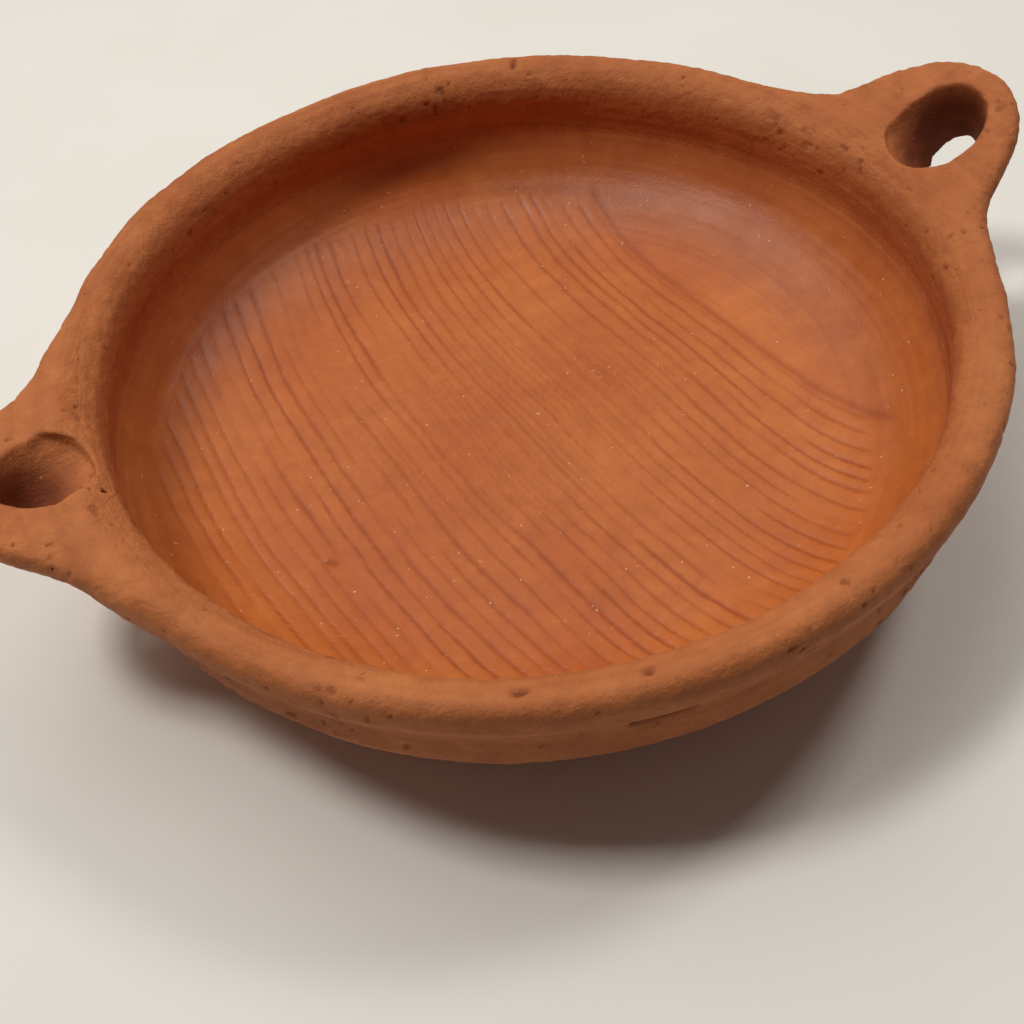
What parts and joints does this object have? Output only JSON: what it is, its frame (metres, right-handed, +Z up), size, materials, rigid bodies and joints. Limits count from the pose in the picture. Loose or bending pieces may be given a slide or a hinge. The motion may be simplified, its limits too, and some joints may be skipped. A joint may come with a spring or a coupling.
{
  "type": "two-lugged earthenware dish",
  "caption": "Shallow round coil-built terracotta dish with a thick inturned rim and a pierced finger lug at each side, for holding an offering, a flame or food.",
  "frame": {"origin": "on the table under the middle of the dish's base, which is the middle of the round bowl", "axes": "+Z up out of the bowl; X through both lugs, +X towards the lug that is raised more"},
  "size_m": [0.2476, 0.2, 0.0591],
  "materials": {
    "burnished_clay": "unglazed fired earthenware, rubbed to a dull shine with a pebble",
    "wiped_clay": "unglazed fired earthenware, wiped smooth by a wet hand and matt"
  },
  "bodies": {
    "root": {"floor_slab": "burnished_clay", "lower_wall_coil": "burnished_clay", "upper_wall_coil": "wiped_clay", "rim_coil": "wiped_clay", "left_lug": "wiped_clay", "right_lug": "wiped_clay"}
  },
  "joints": []
}
